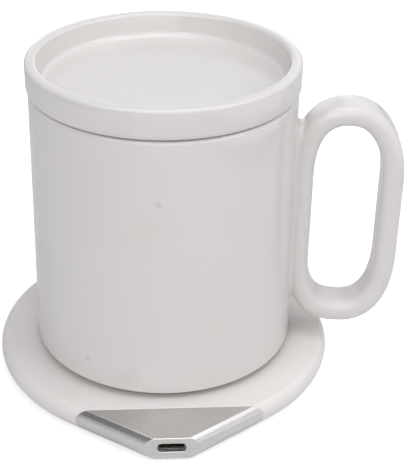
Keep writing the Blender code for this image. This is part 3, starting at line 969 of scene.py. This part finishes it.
def makeTray():
    low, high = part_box("coil_tray")
    s = traySizes
    floorTop, bore, inner = low.z + s["floor"], s["bore"], high.x - s["wall"]
    start = (high.x, (low.z + high.z) / 2, 0)
    profile = softCorners([
        start, (high.x, low.z, s["outerRound"]), (bore, low.z, s["boreRound"]),
        (bore, floorTop, s["boreRound"]), (inner, floorTop, s["innerRound"]),
        (inner, high.z, s["outerRound"]), (high.x, high.z, s["outerRound"]), start], steps=4)
    bm = spun(profile[:-1], steps=96, closed=True)
    angles = [2 * math.pi * k / s["holes"] for k in range(s["holes"])]
    places = [(s["holeCircle"] * math.cos(a), s["holeCircle"] * math.sin(a)) for a in angles]
    bm = carved(bm, rodsAt(s["hole"], low.z - mm, floorTop + mm, places))
    piece("coilTray", "coil_tray", bm, ["blackPlastic"])


thermistorSizes = {
    "bead": 0.0011, "round": 0.0004, "leadHalf": 0.00014, "leadEdge": 0.00004, "leadFrom": 0.0008,
    "leadApart": 0.0004,
}


def makeThermistor():
    low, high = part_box("thermistor")
    s = thermistorSizes
    middle, half = (low.z + high.z) / 2, s["leadHalf"]
    bm = turnedDisc(s["bead"], low.z, high.z, s["round"], s["round"], arcSteps=5, steps=32)
    leads = [boxed((low.x, y - half, middle - half), (-s["leadFrom"], y + half, middle + half),
                   s["leadEdge"]) for y in (-s["leadApart"], s["leadApart"])]
    piece("thermistor", "thermistor", dressed(bm, leads), ["blackPlastic", "inletPlating"])


makeCoil()
makeFerrite()
makeTray()
makeThermistor()
print("coil made")


# Circuit board with its copper, and the parts soldered to it

boardSizes = {
    "copper": 0.00004, "trace": 0.0003, "via": 0.0003, "edge": 0.0001,
    "padHalf": (0.0014, 0.001), "padEdge": 0.00001,
    # the rest is in mm; a trace is a row of corners, and all but the bridges have a mirrored twin
    "bridges": (
        ((-5.8, -42.4), (-3, -42.4), (-2, -43.4), (2, -43.4), (3, -42.4), (5.8, -42.4)),
        ((-5.8, -41), (5.8, -41)), ((-5.8, -40.3), (5.8, -40.3)),
    ),
    "traces": (
        ((1.5, -55.5), (1.5, -54.2), (6.2, -49.5), (6.2, -44.2)),
        ((2.2, -55.5), (2.2, -54.5), (7.2, -49.5), (7.2, -44.2)),
        ((8.5, -39), (8.5, -36.2), (7.2, -34.5), (7.2, -33.1)),
        ((9.5, -39), (9.5, -36), (12.5, -33.5)),
        ((11.2, -42.4), (13.5, -42.4), (14.8, -40.8), (14.8, -34.5)),
    ),
    "vias": ((14.8, -34.5), (13.5, -44.8), (4, -44.8), (2, -37.8), (4.5, -58.5), (10.5, -46.5)),
    "pads": ((12.5, -32.5),),
}


def laidOut(row, side=1):
    return [(side * x * mm, y * mm) for x, y in row]


def makeBoard():
    low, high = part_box("main_board")
    s = boardSizes
    bm = bmesh.new()  # starts from a copy of the node
    bm.from_mesh(nodes["main_board"].data)
    bm.transform(nodes["main_board"].matrix_world)
    bmesh.ops.remove_doubles(bm, verts=bm.verts, dist=weld)
    bmesh.ops.dissolve_limit(bm, angle_limit=math.radians(1), verts=bm.verts, edges=bm.edges)
    bmesh.ops.translate(bm, vec=(0, 0, -s["copper"]),
                        verts=[v for v in bm.verts if v.co.z > (low.z + high.z) / 2])
    bevelSharp(bm, s["edge"])
    base, traceTop, half = high.z - 2 * s["copper"], high.z - s["copper"] / 4, s["trace"] / 2
    rows = [laidOut(row) for row in s["bridges"]]
    rows += [laidOut(row, side) for row in s["traces"] for side in (-1, 1)]
    traces = []
    for corners in rows:
        for (x, y), (nextX, nextY) in zip(corners, corners[1:]):
            run = math.hypot(nextX - x, nextY - y)
            strip = boxed((0, -half, base), (run, half, traceTop))
            traces.append(moved(turned(strip, math.atan2(nextY - y, nextX - x)), x, y))
        traces += rodsAt(half, base, traceTop, corners[1:-1], steps=12)
    across, along = s["padHalf"]
    tinned = []
    for side in (-1, 1):
        tinned += rodsAt(s["via"], base, high.z, laidOut(s["vias"], side), steps=16)
        tinned += [boxed((x - across, y - along, base), (x + across, y + along, high.z),
                         s["padEdge"]) for x, y in laidOut(s["pads"], side)]
    piece("mainBoard", "main_board", dressed(bm, traces, tinned),
          ["boardGreen", "traceGreen", "inletPlating"])


chipSizes = {
    "foot": 0.00003, "edge": 0.00012, "leadHalf": 0.00014, "leadReach": 0.0004,
    "leadThick": 0.0002, "leads": 7, "pitch": 0.00062, "dimple": 0.0003, "dimpleDepth": 0.00006,
    "dimpleInset": 0.0008,
}


def makeChip(name, node):
    low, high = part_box(node)
    s = chipSizes
    foot, half, reach, thick = s["foot"], s["leadHalf"], s["leadReach"], s["leadThick"]
    body = boxed((low.x + foot, low.y + foot, low.z + foot), (high.x - foot, high.y - foot, high.z),
                 s["edge"])
    inset = s["dimpleInset"]
    body = carved(body, rodsAt(s["dimple"], high.z - s["dimpleDepth"], high.z + mm,
                               [(low.x + inset, high.y - inset)], steps=20))
    leads, middle = [], (low + high) / 2
    for k in range(s["leads"]):
        at = (k - (s["leads"] - 1) / 2) * s["pitch"]
        for near, far in ((low.x, low.x + reach), (high.x - reach, high.x)):
            leads.append(boxed((near, middle.y + at - half, low.z),
                               (far, middle.y + at + half, low.z + thick)))
        for near, far in ((low.y, low.y + reach), (high.y - reach, high.y)):
            leads.append(boxed((middle.x + at - half, near, low.z),
                               (middle.x + at + half, far, low.z + thick)))
    piece(name, node, dressed(body, leads), ["chipBlack", "inletPlating"])


inductorSizes = {
    "foot": 0.0001, "edge": 0.0005, "wellInner": 0.0019, "wellOuter": 0.0024, "wellDepth": 0.0004,
    "endHalf": (0.0016, 0.0007), "endHeight": 0.0003, "endEdge": 0.00005,
}


def makeInductor():
    low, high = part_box("power_inductor")
    s = inductorSizes
    middle = (low + high) / 2
    body = boxed((low.x, low.y, low.z + s["foot"]), high, s["edge"], segments=3)
    wellFloor = high.z - s["wellDepth"]
    well = spun([(s["wellInner"], high.z + mm), (s["wellInner"], wellFloor),
                 (s["wellOuter"], wellFloor), (s["wellOuter"], high.z + mm)], steps=40,
                closed=True)
    body = carved(body, [moved(well, middle.x, middle.y)])
    across, along = s["endHalf"]
    ends = [boxed((middle.x - across, edge - along, low.z),
                  (middle.x + across, edge + along, low.z + s["endHeight"]), s["endEdge"])
            for edge in (low.y + along, high.y - along)]
    piece("powerInductor", "power_inductor", dressed(body, ends), ["ferriteGrey", "inletPlating"])


capacitorSizes = {"thin": 0.00005, "cap": 0.0006, "bodyEdge": 0.0001, "capEdge": 0.00015}


def makeCapacitors():
    s = capacitorSizes
    thin = Vector((s["thin"],) * 3)
    for i in range(3):
        node = f"resonant_capacitor_{i + 1}"
        low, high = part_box(node)
        body = boxed(low + thin, high - thin, s["bodyEdge"])
        ends = [boxed(low, (low.x + s["cap"], high.y, high.z), s["capEdge"]),
                boxed((high.x - s["cap"], low.y, low.z), high, s["capEdge"])]
        piece(f"resonantCapacitor{i + 1}", node, dressed(body, ends),
              ["capacitorTan", "inletPlating"])


makeBoard()
makeChip("controllerChip", "controller_chip")
makeChip("driverChip", "driver_chip")
makeInductor()
makeCapacitors()
print("board made")


# Floor, light and camera

stageSizes = {
    "floorHalf": 6, "floorColour": (0.8, 0.8, 0.8), "aim": (0, 0, 0.055),
    "floorLift": 0.5, "floorFade": (0.2, 0.9), "floorMirrored": 0.05, "ambient": 0.18,
    "mirrored": 1.0,
    "lamps": (
        # where from, side of the square, brightness of its face
        ((-0.54, -0.66, 0.74), 0.85, 1.72),
        ((0.8, -0.4, 0.8), 0.7, 2.35),
        ((0, -1, 0.7), 0.9, 0.8),
        ((-0.05, -1.05, 0.3), 0.42, 0.7),
        ((0.1, -0.1, 1.3), 0.8, 2.45),
        ((0.45, 0.8, 0.7), 0.7, 0.5),
        ((1.1, 0.15, 0.5), 0.6, 1.1),
        ((0, 1.15, 0.22), 0.6, 0.6),
    ),
    "cards": (
        # where it stands, what it faces, width and height, brightness
        ((-0.117, -0.099, 0.1), (-0.0205, -0.0574, 0.006), (0.2, 0.13), 0.13),
        ((-0.13, -0.1035, 0.024), (-0.0205, -0.0574, 0.006), (0.2, 0.05), 0.6),
        ((0.118, -0.077, 0.087), (0.0205, -0.0574, 0.006), (0.2, 0.12), 1.3),
        ((0.1135, -0.088, 0.047), (0.0205, -0.0574, 0.006), (0.2, 0.016), 0.35),
        ((0, -0.62, 0.86), (0, 0, 0.055), (0.45, 0.3), 2),
    ),
}
cameraSizes = {
    "turn": math.radians(2.31), "away": 0.3513, "height": 0.2453, "aimHeight": 0.0468,
    "lens": 90.64, "shift": 0.0873, "clip": 0.01,
}


def byRay(tree, forCamera, forMirror, forLight):
    # one value for rays from the camera, one for mirror and glass rays, one for the rest
    path = addNode(tree, "ShaderNodeLightPath")
    mirror = addNode(tree, "ShaderNodeMath", {0: path.outputs["Is Glossy Ray"],
                                              1: path.outputs["Is Transmission Ray"]},
                     operation="MAXIMUM").outputs[0]
    rest = spread(tree, mirror, 0, 1, forLight, forMirror)
    return addNode(tree, "ShaderNodeMix", {"Factor": path.outputs["Is Camera Ray"], "A": rest,
                                           "B": forCamera}, data_type="FLOAT").outputs[0]


def makeFloor():
    bm = bmesh.new()
    bmesh.ops.create_grid(bm, x_segments=1, y_segments=1, size=stageSizes["floorHalf"])
    floor = asObject("floor", bm)
    paint = bpy.data.materials.new("floorPaint")
    tree = emptyTree(paint)
    colour = (*stageSizes["floorColour"], 1)
    matt = addNode(tree, "ShaderNodeBsdfDiffuse", {"Color": colour})
    away = addNode(tree, "ShaderNodeVectorMath", {0: objectPlace(tree)}, operation="LENGTH")
    seen = spread(tree, away.outputs["Value"], *stageSizes["floorFade"], stageSizes["floorLift"], 1)
    lift = addNode(tree, "ShaderNodeEmission", {
        "Strength": byRay(tree, seen, stageSizes["floorMirrored"], 0.0)})
    both = addNode(tree, "ShaderNodeAddShader", {0: matt.outputs[0], 1: lift.outputs[0]})
    clear = addNode(tree, "ShaderNodeBsdfTransparent")
    side = addNode(tree, "ShaderNodeNewGeometry").outputs["Backfacing"]
    final = addNode(tree, "ShaderNodeMixShader", {0: side, 1: both.outputs[0],
                                                  2: clear.outputs[0]})
    addNode(tree, "ShaderNodeOutputMaterial", {"Surface": final.outputs[0]})
    floor.data.materials.append(paint)


def makeWorld():
    world = bpy.data.worlds.new("studio")
    tree = emptyTree(world)
    glow = addNode(tree, "ShaderNodeBackground", {
        "Color": (1, 1, 1, 1),
        "Strength": byRay(tree, 1.0, stageSizes["mirrored"], stageSizes["ambient"])})
    addNode(tree, "ShaderNodeOutputWorld", {"Surface": glow.outputs[0]})
    bpy.context.scene.world = world


def aimed(thing, place, target):
    thing.location = place
    thing.rotation_mode = "QUATERNION"
    thing.rotation_quaternion = (Vector(target) - Vector(place)).to_track_quat("-Z", "Y")


def makeLamps():
    for i, (place, side, level) in enumerate(stageSizes["lamps"]):
        light = bpy.data.lights.new(f"softbox{i + 1}", "AREA")
        light.shape = "SQUARE"
        light.size = side
        light.energy = level * math.pi * side * side
        aimed(linked(f"softbox{i + 1}", light), place, stageSizes["aim"])


def makeCards():
    # cards that only shiny surfaces see
    for i, (place, faced, size, level) in enumerate(stageSizes["cards"]):
        paper = bpy.data.materials.new(f"card{i + 1}")
        tree = emptyTree(paper)
        glow = addNode(tree, "ShaderNodeEmission", {"Strength": level})
        addNode(tree, "ShaderNodeOutputMaterial", {"Surface": glow.outputs[0]})
        turn = (Vector(place) - Vector(faced)).to_track_quat("Z", "Y").to_matrix().to_4x4()
        bm = bmesh.new()
        bmesh.ops.create_grid(bm, x_segments=1, y_segments=1, size=0.5)
        bmesh.ops.scale(bm, vec=(*size, 1), verts=bm.verts)
        bmesh.ops.transform(bm, matrix=Matrix.Translation(place) @ turn, verts=bm.verts)
        card = asObject(f"card{i + 1}", bm)
        card.data.materials.append(paper)
        card.visible_camera = card.visible_diffuse = card.visible_shadow = False


def makeCamera():
    s = cameraSizes
    data = bpy.data.cameras.new("camera")
    data.lens = s["lens"]
    data.shift_x = s["shift"]
    data.clip_start = s["clip"]
    camera = linked("camera", data)
    aimed(camera, (-s["away"] * math.sin(s["turn"]), -s["away"] * math.cos(s["turn"]),
                   s["height"]), (0, 0, s["aimHeight"]))
    bpy.context.scene.camera = camera


makeFloor()
makeWorld()
makeLamps()
makeCards()
makeCamera()
bpy.context.scene.view_settings.view_transform = "Standard"
print("stage set")

bpy.context.view_layer.update()
